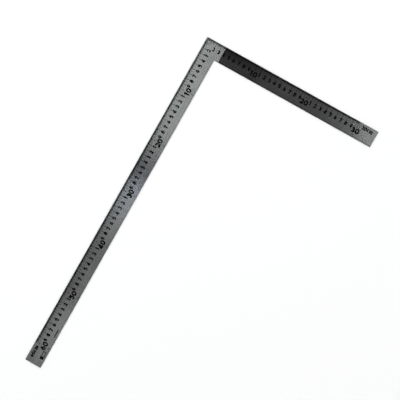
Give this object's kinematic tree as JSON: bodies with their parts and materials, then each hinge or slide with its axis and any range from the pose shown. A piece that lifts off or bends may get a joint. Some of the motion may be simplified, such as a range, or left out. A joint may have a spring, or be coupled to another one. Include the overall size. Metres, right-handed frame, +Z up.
{
  "type": "steel square ruler",
  "caption": "Flat L-shaped steel square with etched centimetre scales along the outer edges of its long and short blades, butt welded near the corner.",
  "frame": {"origin": "on the underside, where the centre lines of the long and short blades cross, in the middle of the corner", "axes": "+X along the long blade, away from the corner; +Y along the short blade, away from the corner; +Z up, out of the graduated face"},
  "size_m": [0.636, 0.336, 0.0015],
  "materials": {
    "long_blade_steel": "stainless steel, brushed along the long blade",
    "short_blade_steel": "stainless steel, brushed along the short blade",
    "weld_steel": "stainless butt weld, ground flush",
    "scale_enamel": "black enamel filling etched graduations, satin"
  },
  "bodies": {
    "root": {"long_blade": "long_blade_steel", "short_blade": "short_blade_steel", "corner_weld": "weld_steel"}
  },
  "joints": []
}
